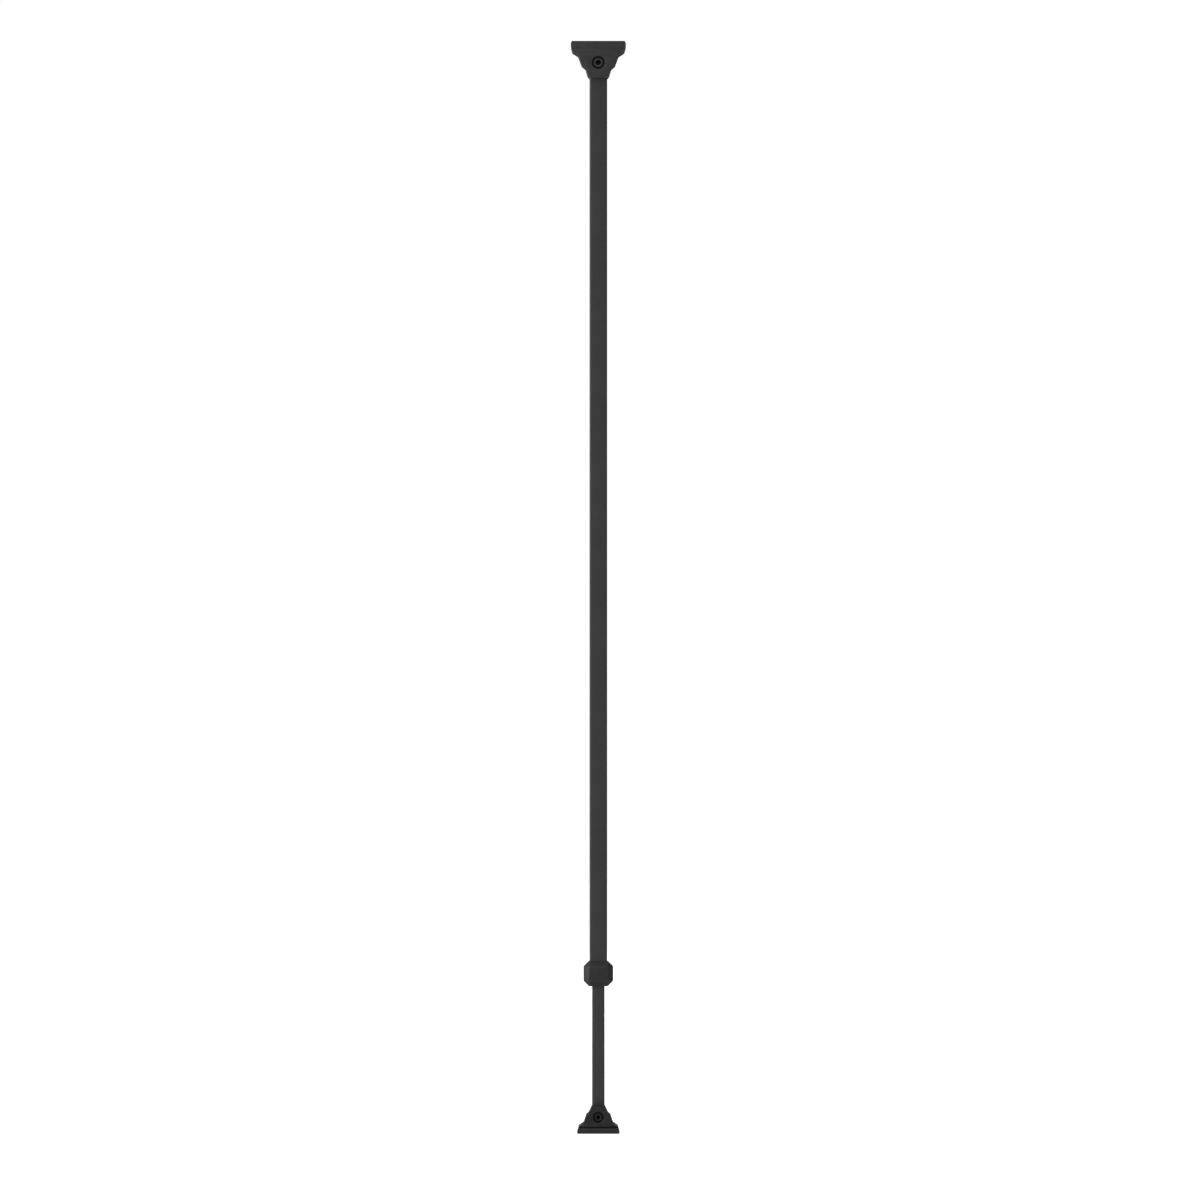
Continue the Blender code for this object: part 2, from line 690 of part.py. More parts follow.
def build():
    clear_scene()
    materials = make_materials()
    foot_group = make_group("foot_origin", (0, 0, FOOT.face))
    inner_group = make_group("foot_pivot_axis", (0, 0, FOOT.pivot_z))
    outer_group = make_group("slide_axis", (0, 0, COLLAR_BOTTOM))
    clamp_group = make_group("clamp_axis", (0, COLLAR_SIDE / 2, CLAMP_Z))
    head_group = make_group("head_pivot_axis", (0, 0, HEAD.pivot_z))

    for end, group in ((FOOT, foot_group), (HEAD, head_group)):
        make_shoe(end, materials, group)
        make_pad(end, materials, group)
        make_pivot(end, materials, group)
    make_inner_tube(materials, inner_group)
    make_outer_tube(materials, outer_group)
    make_liner(materials, outer_group)
    make_collar(materials, outer_group)
    make_clamp(materials, outer_group, clamp_group)
    settle_shapes()


build()
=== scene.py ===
"""Looks of the door security bar: finer pieces, procedural materials, floor, light and camera.

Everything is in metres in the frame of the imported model: the bar stands along +Z on its foot pad,
the pivot screws lie along Y with their heads at the front (-Y), and the shoes are widest along X.
"""

import json
import math

import bmesh
import bpy
from mathutils import Matrix, Vector


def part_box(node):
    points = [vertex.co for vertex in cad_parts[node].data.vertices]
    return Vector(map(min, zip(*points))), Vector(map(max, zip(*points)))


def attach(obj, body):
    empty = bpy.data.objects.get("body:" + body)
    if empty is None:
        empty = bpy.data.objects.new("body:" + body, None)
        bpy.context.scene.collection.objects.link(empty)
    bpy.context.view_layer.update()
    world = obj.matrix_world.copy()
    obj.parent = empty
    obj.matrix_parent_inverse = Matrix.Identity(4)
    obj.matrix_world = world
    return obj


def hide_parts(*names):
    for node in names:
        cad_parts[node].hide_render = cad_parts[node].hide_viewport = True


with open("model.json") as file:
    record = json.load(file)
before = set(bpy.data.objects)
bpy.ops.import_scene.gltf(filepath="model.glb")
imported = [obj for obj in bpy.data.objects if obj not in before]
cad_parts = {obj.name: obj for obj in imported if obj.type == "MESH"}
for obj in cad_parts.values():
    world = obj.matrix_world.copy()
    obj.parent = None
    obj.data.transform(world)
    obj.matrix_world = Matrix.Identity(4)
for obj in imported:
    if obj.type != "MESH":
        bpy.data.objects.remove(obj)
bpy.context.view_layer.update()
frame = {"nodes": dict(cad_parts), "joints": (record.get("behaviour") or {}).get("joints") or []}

# ---- sizes ---------------------------------------------------------------------------------

ARC_STEP = math.radians(9)   # turn of one segment of a rounded corner
ROUND_SIDES = 96             # sides of a turned piece
HIDDEN_SIDES = 48
BEYOND = 0.05                # how far a cutter runs past what it cuts
SOCKET_FLARE = 0.00022       # depth of the flared mouth of a hex socket
SOCKET_ABOVE = (0.004, 0.00001)  # levels above a socket's mouth where its cutter is widest
SMOOTH_ANGLE = math.radians(28)
FLAT_ANGLE = math.radians(1)     # faces closer to one plane than this are joined
MERGE = 0.000002             # points closer than this are one
X_AXIS, Y_AXIS, Z_AXIS = Vector((1, 0, 0)), Vector((0, 1, 0)), Vector((0, 0, 1))

EDGE_CURVES = (120.0, 360.0)     # mean curvatures, per metre, that count as 0 and 1
# The hollow curvatures set where inner corners get painted shade.
HOLLOW_CURVES = (-60.0, -240.0)


def joint_place(name):
    """Where the frame's joint of this name turns."""
    return next(Vector(j["pos_m"]) for j in frame["joints"] if j["name"] == name)


class Box:
    """The box of a CAD node: its low and high corners, size and centre."""

    def __init__(self, node):
        self.low, self.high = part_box(node)
        self.size = self.high - self.low
        self.centre = (self.high + self.low) / 2


class Shoe:
    """One shoe: sizes and materials given by name, and places read from the frame.

    way is 1 for a shoe that stands on its bearing face and -1 for one that hangs from it. size is 1
    for the head shoe. An outline has the right side's (x, distance from the bearing face, radius)
    corners. bore, shank and cap are radii, socket and nut_flats are widths across flats, and
    nut_wall is the cheek that is left under the nut. The shoe's body has the shoe's name.
    """

    def __init__(self, name, way, **sizes):
        self.name, self.way = name, way
        vars(self).update(sizes)
        pad = Box(f"{name}_pad")
        self.face = pad.low.z if way > 0 else pad.high.z
        self.half = Box(f"{name}_shoe").size.y / 2
        self.pad_half = pad.size.y / 2
        self.pivot = joint_place(f"{name}_pivot")

    def z(self, distance):
        """The height of a point this far from the bearing face."""
        return self.face + self.way * distance

    def ring_of(self, right_side):
        """The whole outline from its right side."""
        right = [(x, self.z(distance), radius) for x, distance, radius in right_side]
        left = [(-x, z, radius) for x, z, radius in reversed(right)]
        return rounded_outline(right + left)


# ---- mesh helpers --------------------------------------------------------------------------


def rounded_outline(corners):
    """A closed outline through (x, y, radius) corners, with each corner turned into an arc."""
    points = []
    count = len(corners)
    for i, (x, y, radius) in enumerate(corners):
        corner = Vector((x, y))
        before = (Vector(corners[i - 1][:2]) - corner).normalized()
        after = (Vector(corners[(i + 1) % count][:2]) - corner).normalized()
        half_turn = before.angle(after) / 2
        setback = radius / math.tan(half_turn)
        centre = corner + (before + after).normalized() * (radius / math.sin(half_turn))
        start = corner + before * setback - centre
        swing = start.angle_signed(corner + after * setback - centre)
        steps = max(2, round(abs(swing) / ARC_STEP))
        for step in range(steps + 1):
            turned = start.copy()
            turned.rotate(Matrix.Rotation(-swing * step / steps, 2))
            points.append(centre + turned)
    return points


def square_outline(half, corner):
    """A square of this half width with rounded corners."""
    signs = ((1, 1), (-1, 1), (-1, -1), (1, -1))
    return rounded_outline([(half * sx, half * sy, corner) for sx, sy in signs])


def loft(loops, closed=False):
    """A solid through loops of equal length: capped at both ends, or closed back to the first."""
    solid = bmesh.new()
    rings = [[solid.verts.new(place) for place in loop] for loop in loops]
    pairs = list(zip(rings, rings[1:]))
    if closed:
        pairs.append((rings[-1], rings[0]))
    else:
        solid.faces.new(rings[0])
        solid.faces.new(rings[-1])
    for first, second in pairs:
        for i in range(len(first)):
            solid.faces.new((first[i - 1], first[i], second[i], second[i - 1]))
    return solid


def at_height(points, z):
    """An outline drawn in the XY plane, at this place along Z."""
    return [(p.x, p.y, z) for p in points]


def at_depth(points, y):
    """An outline drawn in the XZ plane, at this place along Y."""
    return [(p.x, y, p.y) for p in points]


def box(x, y, z):
    """A block between two places along each axis."""
    corners = [Vector((x[i], y[j])) for i, j in ((0, 0), (1, 0), (1, 1), (0, 1))]
    return loft([at_height(corners, z[0]), at_height(corners, z[1])])


def placed(solid, axis, place):
    """Turns a solid drawn along +Z to lie along the axis, and moves it there."""
    turn = Z_AXIS.rotation_difference(Vector(axis)).to_matrix().to_4x4()
    solid.transform(Matrix.Translation(place) @ turn)
    return solid


def turned(profile, axis, place, sides=ROUND_SIDES, closed=False, radius_at=None):
    """A solid of revolution from (radius, distance along the axis) points.

    radius_at(radius, along, angle) may vary the radius, for a thread, a knurl or a hexagon.
    """
    loops = []
    for radius, along in profile:
        loop = []
        for side in range(sides):
            angle = 2 * math.pi * side / sides
            r = radius_at(radius, along, angle) if radius_at else radius
            loop.append((r * math.cos(angle), r * math.sin(angle), along))
        loops.append(loop)
    return placed(loft(loops, closed), axis, place)


def soft_profile(points, radius, steps=4):
    """Rounds each inner corner of a (radius, along) profile. The first and last points stay."""
    longest = 0.45               # share of a straight that a rounding may take
    profile = [points[0]]
    for before, corner, after in zip(points, points[1:], points[2:]):
        b, c, a = Vector(before), Vector(corner), Vector(after)
        reach = min(radius, (b - c).length * longest, (a - c).length * longest)
        start, end = c + (b - c).normalized() * reach, c + (a - c).normalized() * reach
        for step in range(steps + 1):
            t = step / steps
            profile.append(tuple(start * (1 - t) ** 2 + c * 2 * t * (1 - t) + end * t ** 2))
    profile.append(points[-1])
    return profile


def rod(radius, axis, place, length, sides=ROUND_SIDES):
    """A plain cylinder from a place along an axis, mostly a drill."""
    return turned(((radius, 0.0), (radius, length)), axis, place, sides)


def ring(inner, outer, axis, place, length, edge, sides=ROUND_SIDES):
    """A washer, bush or insert with rounded edges."""
    corners = ((outer, 0, -90), (outer, length, 0), (inner, length, 90), (inner, 0, 180))
    profile = []
    for radius, along, turn in corners:
        away = Vector((-edge if radius == outer else edge, edge if along == 0 else -edge))
        centre = Vector((radius, along)) + away
        for step in range(4):
            angle = math.radians(turn + 30 * step)
            profile.append(tuple(centre + edge * Vector((math.cos(angle), math.sin(angle)))))
    return turned(profile, axis, place, sides, closed=True)


def hex_loops(flats, levels):
    """Hexagons at (scale, along) levels."""
    corner = flats / math.sqrt(3)
    turns = [math.radians(60 * i) for i in range(6)]
    return [
        [(corner * scale * math.cos(turn), corner * scale * math.sin(turn), along) for turn in turns]
        for scale, along in levels
    ]


def hex_socket(flats, depth, axis, mouth):
    """A cutter for a hex socket with a flared mouth and a flat bottom."""
    wide = 1 + 4 * SOCKET_FLARE / flats
    levels = [(wide, -above) for above in SOCKET_ABOVE] + [(1, SOCKET_FLARE), (1, depth)]
    return placed(loft(hex_loops(flats, levels)), axis, mouth)


def as_object(name, solid):
    """Turns a solid into an object of the scene."""
    bmesh.ops.recalc_face_normals(solid, faces=solid.faces)
    mesh = bpy.data.meshes.new(name)
    solid.to_mesh(mesh)
    solid.free()
    obj = bpy.data.objects.new(name, mesh)
    bpy.context.scene.collection.objects.link(obj)
    return obj


def boolean(obj, shape, operation):
    """Cuts or joins a shape, kept as a helper object until settle()."""
    helper = as_object(f"{obj.name}_helper_{len(obj.modifiers)}", shape)
    modifier = obj.modifiers.new(helper.name, "BOOLEAN")
    modifier.operation = operation
    modifier.object = helper
    modifier.solver = "EXACT"


def cut(obj, *shapes):
    for shape in shapes:
        boolean(obj, shape, "DIFFERENCE")


def join(obj, *shapes):
    for shape in shapes:
        boolean(obj, shape, "UNION")


def round_edges(obj, width, segments=4, angle=35, weighted=False):
    """A rounding on edges sharper than the angle, or on each edge by its stored weight."""
    modifier = obj.modifiers.new("rounding", "BEVEL")
    modifier.width = width
    modifier.segments = segments
    modifier.limit_method = "WEIGHT" if weighted else "ANGLE"
    modifier.angle_limit = math.radians(angle)
    modifier.use_clamp_overlap = False
    modifier.miter_outer = "MITER_ARC"


def settle(obj):
    """Applies the modifiers, removes the boolean helpers and joins doubled points."""
    helpers = [m.object for m in obj.modifiers if m.type == "BOOLEAN"]
    bpy.context.view_layer.update()
    graph = bpy.context.evaluated_depsgraph_get()
    mesh = bpy.data.meshes.new_from_object(obj.evaluated_get(graph))
    obj.modifiers.clear()
    obj.data = mesh
    mesh.name = obj.name
    for helper in helpers:
        bpy.data.objects.remove(helper, do_unlink=True)
    work = bmesh.new()
    work.from_mesh(mesh)
    bmesh.ops.remove_doubles(work, verts=work.verts, dist=MERGE)
    work.to_mesh(mesh)
    work.free()


def mark_edges(obj):
    """Stores how tightly the surface curves: "edge" is 1 on outer edges, "hollow" in inner corners."""
    work = bmesh.new()
    work.from_mesh(obj.data)
    curves = []
    for vert in work.verts:
        turn = sum(e.calc_face_angle_signed(0.0) * e.calc_length() for e in vert.link_edges)
        area = sum(face.calc_area() / len(face.verts) for face in vert.link_faces)
        curves.append(turn / (4 * area) if area else 0.0)
    work.free()
    for name, (none, full) in (("edge", EDGE_CURVES), ("hollow", HOLLOW_CURVES)):
        values = [min(1.0, max(0.0, (curve - none) / (full - none))) for curve in curves]
        obj.data.attributes.new(name, "FLOAT", "POINT").data.foreach_set("value", values)


def finish_piece(obj, node, body, material, sharp=SMOOTH_ANGLE):
    """Shades, paints and mounts a finished piece in place of its CAD node."""
    mesh = obj.data
    mesh.shade_smooth()
    mesh.set_sharp_from_angle(angle=sharp)
    mark_edges(obj)
    mesh.materials.clear()
    mesh.materials.append(material)
    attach(obj, body)
    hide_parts(node)


# ---- materials -----------------------------------------------------------------------------


class Nodes:
    """Short calls that add nodes to a node tree."""

    def __init__(self, tree):
        self.nodes, self.links = tree.nodes, tree.links

    def add(self, kind):
        return self.nodes.new(f"ShaderNode{kind}")

    def put(self, socket, value):
        if isinstance(value, bpy.types.NodeSocket):
            self.links.new(value, socket)
        else:
            socket.default_value = value

    def math(self, operation, *values):
        node = self.add("Math")
        node.operation = operation
        for socket, value in zip(node.inputs, values):
            self.put(socket, value)
        return node.outputs[0]

    def span(self, value, low, high, to_low=0.0, to_high=1.0):
        """Carries low..high smoothly to to_low..to_high, and holds the ends."""
        node = self.add("MapRange")
        node.interpolation_type = "SMOOTHSTEP"
        for name, amount in zip(("Value", "From Min", "From Max", "To Min", "To Max"),
                                (value, low, high, to_low, to_high)):
            self.put(node.inputs[name], amount)
        return node.outputs["Result"]


class Paint(Nodes):
    """A Principled material being built from noise, rings, edges lightened by wear and painted highlight, and
    painted shade in inner corners.
    """

    def __init__(self, name, metallic=0.0, specular=0.5):
        self.material = bpy.data.materials.new(name)
        self.material.use_nodes = True
        super().__init__(self.material.node_tree)
        self.shader = self.nodes["Principled BSDF"]
        self.shader.inputs["Metallic"].default_value = metallic
        self.shader.inputs["Specular IOR Level"].default_value = specular
        self.where = self.add("TexCoord")

    def noise(self, size, detail=3.0, stretch=(1, 1, 1), distortion=0.0):
        """Noise from 0 to 1 with features of about this size in metres, stretched along the axes."""
        mapping = self.add("Mapping")
        self.links.new(self.where.outputs["Object"], mapping.inputs["Vector"])
        mapping.inputs["Scale"].default_value = [1 / (size * amount) for amount in stretch]
        node = self.add("TexNoise")
        node.inputs["Scale"].default_value = 1.0
        node.inputs["Detail"].default_value = detail
        node.inputs["Distortion"].default_value = distortion
        self.links.new(mapping.outputs[0], node.inputs["Vector"])
        return node.outputs["Fac"]

    def rings(self, axis, count):
        """Fine turning marks: noise that depends only on the distance from the piece's own axis."""
        flat = self.add("VectorMath")
        flat.operation = "SUBTRACT"
        self.links.new(self.where.outputs["Generated"], flat.inputs[0])
        flat.inputs[1].default_value = (0.5, 0.5, 0.5)
        across = self.add("VectorMath")
        across.operation = "MULTIPLY"
        self.links.new(flat.outputs[0], across.inputs[0])
        across.inputs[1].default_value = [0.0 if i == axis else 1.0 for i in range(3)]
        reach = self.add("VectorMath")
        reach.operation = "LENGTH"
        self.links.new(across.outputs[0], reach.inputs[0])
        node = self.add("TexNoise")
        node.noise_dimensions = "1D"
        node.inputs["Scale"].default_value = count
        node.inputs["Detail"].default_value = 2.0
        self.links.new(reach.outputs["Value"], node.inputs["W"])
        return node.outputs["Fac"]

    def blend(self, factor, first, second):
        node = self.add("Mix")
        node.data_type = "RGBA"
        self.put(node.inputs["Factor"], factor)
        for name, colour in (("A", first), ("B", second)):
            socket = next(s for s in node.inputs if s.name == name and s.type == "RGBA")
            self.put(socket, colour if isinstance(colour, bpy.types.NodeSocket) else (*colour, 1.0))
        return next(s for s in node.outputs if s.type == "RGBA")

    def stored(self, name):
        """What mark_edges stored: "edge" or "hollow"."""
        node = self.add("Attribute")
        node.attribute_name = name
        return node.outputs["Fac"]

    def bump(self, height, distance, below=None):
        node = self.add("Bump")
        node.inputs["Distance"].default_value = distance
        self.links.new(height, node.inputs["Height"])
        if below:
            self.links.new(below, node.inputs["Normal"])
        return node.outputs["Normal"]

    def done(self, colour, roughness, normal):
        self.put(self.shader.inputs["Base Color"], colour)
        self.put(self.shader.inputs["Roughness"], roughness)
        self.put(self.shader.inputs["Normal"], normal)
        return self.material


def powder_coat():
    """Black polyester powder on steel: orange peel, fine grain, and corners smoother and lighter, part wear
    and part painted highlight.
    """
    paint = Paint("powder_coat_black")
    clouds = paint.noise(0.045, detail=4)
    peel = paint.noise(0.0016, detail=2)
    grain = paint.noise(0.00022, detail=3)
    wear_and_highlight_patches = paint.noise(0.0015, detail=4, stretch=(1, 1, 16))
    rubbed_and_highlit = paint.math("MULTIPLY", paint.stored("edge"), paint.span(wear_and_highlight_patches, 0.42, 0.66))
    colour = paint.blend(paint.span(clouds, 0.3, 0.7), (0.0398, 0.0398, 0.0408), (0.0466, 0.0466, 0.0476))
    # Corners blended lighter: partly wear, partly a painted highlight where light catches the rounded
    # corners.
    colour = paint.blend(paint.math("MULTIPLY", rubbed_and_highlit, 0.6), colour, (0.078, 0.078, 0.080))
    roughness = paint.math("ADD", paint.span(grain, 0.3, 0.7, 0.46, 0.58),
                           paint.span(clouds, 0.3, 0.7, -0.03, 0.04))
    roughness = paint.math("SUBTRACT", roughness, paint.math("MULTIPLY", rubbed_and_highlit, 0.13))
    normal = paint.bump(grain, 0.000018, paint.bump(peel, 0.000080))
    return paint.done(colour, roughness, normal)


# Scales a colour to a light level: lit and shaded copies of one material, painted light and shade.
def at_light_level(light_level, colour):
    return [light_level * level for level in colour]


def moulded_nylon(name, light_level, specular, least_edge_highlight=0.0):
    """Black glass-filled nylon: eroded grain, swirls of the melt, short fibres at the surface, lighter edges
    by wear and painted highlight, and painted shade in inner corners.
    """
    paint = Paint(name, specular=specular)
    swirl = paint.noise(0.0065, detail=4, distortion=1.2)
    grain = paint.noise(0.00034, detail=3)
    pits = paint.noise(0.0009, detail=2)
    fibres = paint.noise(0.00018, detail=2, stretch=(7, 1, 2))
    fibre = paint.span(fibres, 0.66, 0.74)
    # Edges blended lighter, partly as wear and partly as a painted highlight; the least level gives every
    # edge an even painted highlight.
    wear_and_highlight_patches = paint.span(paint.noise(0.0060, detail=6), 0.36, 0.70, least_edge_highlight)
    worn_and_highlit = paint.math("MULTIPLY", paint.stored("edge"), wear_and_highlight_patches)
    dark, light = at_light_level(light_level, (0.0310, 0.0310, 0.0315)), at_light_level(light_level, (0.0425, 0.0425, 0.0430))
    colour = paint.blend(paint.span(swirl, 0.28, 0.72), dark, light)
    colour = paint.blend(paint.math("MULTIPLY", fibre, 0.35), colour, (0.085, 0.085, 0.086))
    colour = paint.blend(paint.math("MULTIPLY", worn_and_highlit, 0.6), colour, (0.080, 0.080, 0.081))
    # Painted shade: inner corners and recesses blended nearly black.
    colour = paint.blend(paint.math("MULTIPLY", paint.stored("hollow"), 0.85), colour, (0.002, 0.002, 0.002))
    roughness = paint.span(swirl, 0.25, 0.75, 0.50, 0.63)
    roughness = paint.math("SUBTRACT", roughness, paint.math("MULTIPLY", worn_and_highlit, 0.12))
    roughness = paint.math("ADD", roughness, paint.math("MULTIPLY", paint.stored("hollow"), 0.35))
    normal = paint.bump(grain, 0.000032, paint.bump(pits, 0.000035))
    return paint.done(colour, roughness, normal)


def black_rubber(name, light_level):
    """Moulded rubber: matte, with a pale bloom in patches and a fine grain."""
    paint = Paint(name, specular=0.45)
    bloom = paint.noise(0.009, detail=5, distortion=0.6)
    grain = paint.noise(0.00028, detail=3)
    ripples = paint.noise(0.0022, detail=2)
    dark, light = at_light_level(light_level, (0.0330, 0.0330, 0.0332)), at_light_level(light_level, (0.0460, 0.0455, 0.0445))
    colour = paint.blend(paint.span(bloom, 0.35, 0.75), dark, light)
    colour = paint.blend(paint.math("MULTIPLY", paint.stored("edge"), 0.30), colour, (0.062, 0.061, 0.060))
    roughness = paint.span(bloom, 0.3, 0.75, 0.70, 0.86)
    normal = paint.bump(grain, 0.000026, paint.bump(ripples, 0.000035))
    return paint.done(colour, roughness, normal)


def turned_metal(name, dark, light, roughness, axis, painted_shade=0.35):
    """Turned metal with fine rings about one of its axes, a slight stain, and painted shade in its recesses.
    """
    paint = Paint(name, metallic=1.0)
    marks = paint.rings(axis, 60.0)
    stain = paint.noise(0.0035, detail=4)
    scratches = paint.noise(0.00025, detail=2, stretch=(6, 2, 1))
    colour = paint.blend(paint.span(stain, 0.3, 0.7), dark, light)
    # Painted shade: recesses such as a hex socket blended nearly black.
    colour = paint.blend(paint.math("MULTIPLY", paint.stored("hollow"), painted_shade), colour, (0.004, 0.004, 0.004))
    spread = paint.math("ADD", paint.span(marks, 0.3, 0.7, roughness - 0.06, roughness + 0.06),
                        paint.span(stain, 0.3, 0.7, -0.03, 0.07))
    normal = paint.bump(scratches, 0.000003, paint.bump(marks, 0.000006))
    return paint.done(colour, spread, normal)


def blackened_steel(name, light_level, axis):
    """Black oxide on turned steel, with strong painted shade in its socket and recesses."""
    dark, light = at_light_level(light_level, (0.105, 0.105, 0.110)), at_light_level(light_level, (0.185, 0.182, 0.182))
    return turned_metal(name, dark, light, roughness=0.38, axis=axis, painted_shade=0.97)


def natural_nylon():
    """Turned or moulded nylon in its own colour."""
    paint = Paint("nylon_natural")
    clouds = paint.noise(0.006, detail=3)
    grain = paint.noise(0.0004, detail=3)
    colour = paint.blend(paint.span(clouds, 0.3, 0.7), (0.66, 0.64, 0.57), (0.76, 0.74, 0.68))
    roughness = paint.span(grain, 0.3, 0.7, 0.40, 0.54)
    return paint.done(colour, roughness, paint.bump(grain, 0.000012))


def pale_floor():
    paint = Paint("pale_floor", specular=0.2)
    clouds = paint.noise(0.6, detail=3)
    colour = paint.blend(clouds, (0.69, 0.69, 0.69), (0.72, 0.72, 0.72))
    grain = paint.noise(0.004, detail=3)
    seen = paint.add("LightPath").outputs["Is Camera Ray"]
    paint.put(paint.shader.inputs["Emission Color"], (1.0, 1.0, 1.0, 1.0))
    paint.put(paint.shader.inputs["Emission Strength"], paint.math("MULTIPLY", seen, FLOOR_GLOW))
    return paint.done(colour, 0.75, paint.bump(grain, 0.00002))


COAT = powder_coat()
# The nylon, rubber and black-oxide steel copies below are one material each, set to their own light level and
# specular: painted light and shade.
MOULDED_HEAD = moulded_nylon("moulded_nylon_head", light_level=1.10, specular=0.50)
# The collar's edges carry an even painted highlight.
MOULDED_COLLAR = moulded_nylon("moulded_nylon_collar", light_level=0.80, specular=0.42, least_edge_highlight=0.6)
MOULDED_FOOT = moulded_nylon("moulded_nylon_foot", light_level=0.62, specular=0.36)
RUBBER_HEAD = black_rubber("rubber_black_head", light_level=1.32)
RUBBER_FOOT = black_rubber("rubber_black_foot", light_level=0.95)
NYLON = natural_nylon()
STEEL_HEAD = blackened_steel("steel_blackened_head", light_level=0.52, axis=1)
STEEL_FOOT = blackened_steel("steel_blackened_foot", light_level=0.28, axis=1)
STEEL_CLAMP = blackened_steel("steel_blackened_clamp", light_level=0.80, axis=1)
STEEL_SIDE = blackened_steel("steel_blackened_side", light_level=0.58, axis=0)
ZINC = turned_metal("steel_zinc", (0.52, 0.53, 0.56), (0.64, 0.62, 0.56), roughness=0.32, axis=1)
BRASS = turned_metal("brass_turned", (0.60, 0.41, 0.17), (0.74, 0.54, 0.26), roughness=0.30, axis=1)

# ---- shoes and pads ------------------------------------------------------------------------

# Roundings, studs and treads have their size for the head shoe, and the foot's are smaller.
SHOE_EDGE, CUT_EDGE = 0.00062, 0.00032
PAD_EDGE, TREAD_EDGE = 0.00045, 0.00024
SEAM_EDGE = 0.00012          # where the head's pad and shoe meet
SHARP_TURN = 50              # degrees; edges sharper than this are rounded once a piece is cut

GAP = 0.00028                # kept between pieces that touch
PAD_SEAM = 0.00002           # between pad and shoe
WASHER = 0.0008
STUD_PLACE = 0.0165
STUD_NECK, STUD_HEAD, STUD_HEAD_HEIGHT = 0.0026, 0.0038, 0.0013
STUD_TAPER = 0.8             # the radius of the head's top to that of its underside
STUD_PAST = 0.001            # how far its hole runs past the shoe
TREAD_PLACES = (0.0030, 0.0084, 0.0138)
TREAD_WIDTH, TREAD_DEPTH, TREAD_BORDER = 0.0022, 0.0008, 0.0040
GROOVE_DEPTH = 0.0018

INNER_SIDE = Box("inner_tube").size.x
OUTER_SIDE = Box("outer_tube").size.x

FOOT = Shoe(
    "foot", way=1, size=0.775, slot_floor=0.0090, slot_half=INNER_SIDE / 2 + WASHER + 2 * GAP,
    groove=0.0013, shell=MOULDED_FOOT, rubber=RUBBER_FOOT, steel=STEEL_FOOT,
    bore=0.0057, bore_depth=0.0055, shank=0.0025, cap=0.00425, cap_height=0.0050, socket=0.0040,
    pitch=0.0008, nut_flats=0.0080, nut_height=0.0042, nut_wall=0.0021,
    outline=(
        (0.02180, 0.00597, 0.0007),
        (0.02140, 0.00780, 0.0010),
        (0.01580, 0.01140, 0.0020),
        (0.01320, 0.01960, 0.0011),
        (0.01030, 0.02240, 0.0013),
        (0.00660, 0.03040, 0.0006),
    ),
    pad_outline=(
        (0.02350, 0.00000, 0.0014),
        (0.02160, 0.00574, 0.0006),
    ),
)
HEAD = Shoe(
    "head", way=-1, size=1.0, slot_floor=0.0116, slot_half=OUTER_SIDE / 2 + WASHER + 2 * GAP,
    groove=0.0, shell=MOULDED_HEAD, rubber=RUBBER_HEAD, steel=STEEL_HEAD,
    bore=0.0070, bore_depth=0.0066, shank=0.0030, cap=0.0050, cap_height=0.0060, socket=0.0050,
    pitch=0.0010, nut_flats=0.0100, nut_height=0.0050, nut_wall=0.0024,
    outline=(
        (0.02930, 0.00770, 0.0009),
        (0.02800, 0.01130, 0.0014),
        (0.02190, 0.01520, 0.0026),
        (0.01810, 0.02540, 0.0014),
        (0.01380, 0.02930, 0.0020),
        (0.01180, 0.03640, 0.0012),
        (0.00960, 0.03940, 0.0008),
    ),
    pad_outline=(
        (0.02870, 0.00000, 0.0012),
        (0.02980, 0.00290, 0.0025),
        (0.02950, 0.00740, 0.0008),
    ),
)


def weigh_block_edges(obj, seam, seam_edge, edge):
    """Weights for a block's front and rear outlines: those along the seam get the smaller rounding."""
    mesh = obj.data
    weights = []
    for line in mesh.edges:
        first, second = (mesh.vertices[i].co for i in line.vertices)
        outline = abs(first.y - second.y) < MERGE
        at_seam = max(abs(first.z - seam), abs(second.z - seam)) < MERGE
        weights.append(0.0 if not outline else seam_edge / edge if at_seam else 1.0)
    mesh.attributes.new("bevel_weight_edge", "FLOAT", "EDGE").data.foreach_set("value", weights)


def rounded_block(name, shoe, outline, half, seam, edge):
    """An outline made into a block, with its front and rear edges rounded."""
    piece = as_object(name, loft([at_depth(outline, -half), at_depth(outline, half)]))
    weigh_block_edges(piece, shoe.z(seam), edge if shoe.groove else SEAM_EDGE, edge)
    round_edges(piece, edge, weighted=True)
    return piece


def snap_studs(shoe, spare):
    """The pad's two snap studs, or their holes where there is a spare gap."""
    neck, head = STUD_NECK * shoe.size + spare, STUD_HEAD * shoe.size + spare
    under = shoe.slot_floor - STUD_HEAD_HEIGHT * shoe.size - spare
    top = shoe.slot_floor + (STUD_PAST if spare else -GAP)
    start = -STUD_PAST if spare else shoe.pad_outline[-1][1] / 2
    tip = head if spare else head * STUD_TAPER
    profile = ((neck, start), (neck, under), (head, under), (tip, top))
    places = [Vector((side * STUD_PLACE * shoe.size, 0, shoe.face)) for side in (-1, 1)]
    return [turned(profile, Z_AXIS * shoe.way, place, HIDDEN_SIDES) for place in places]


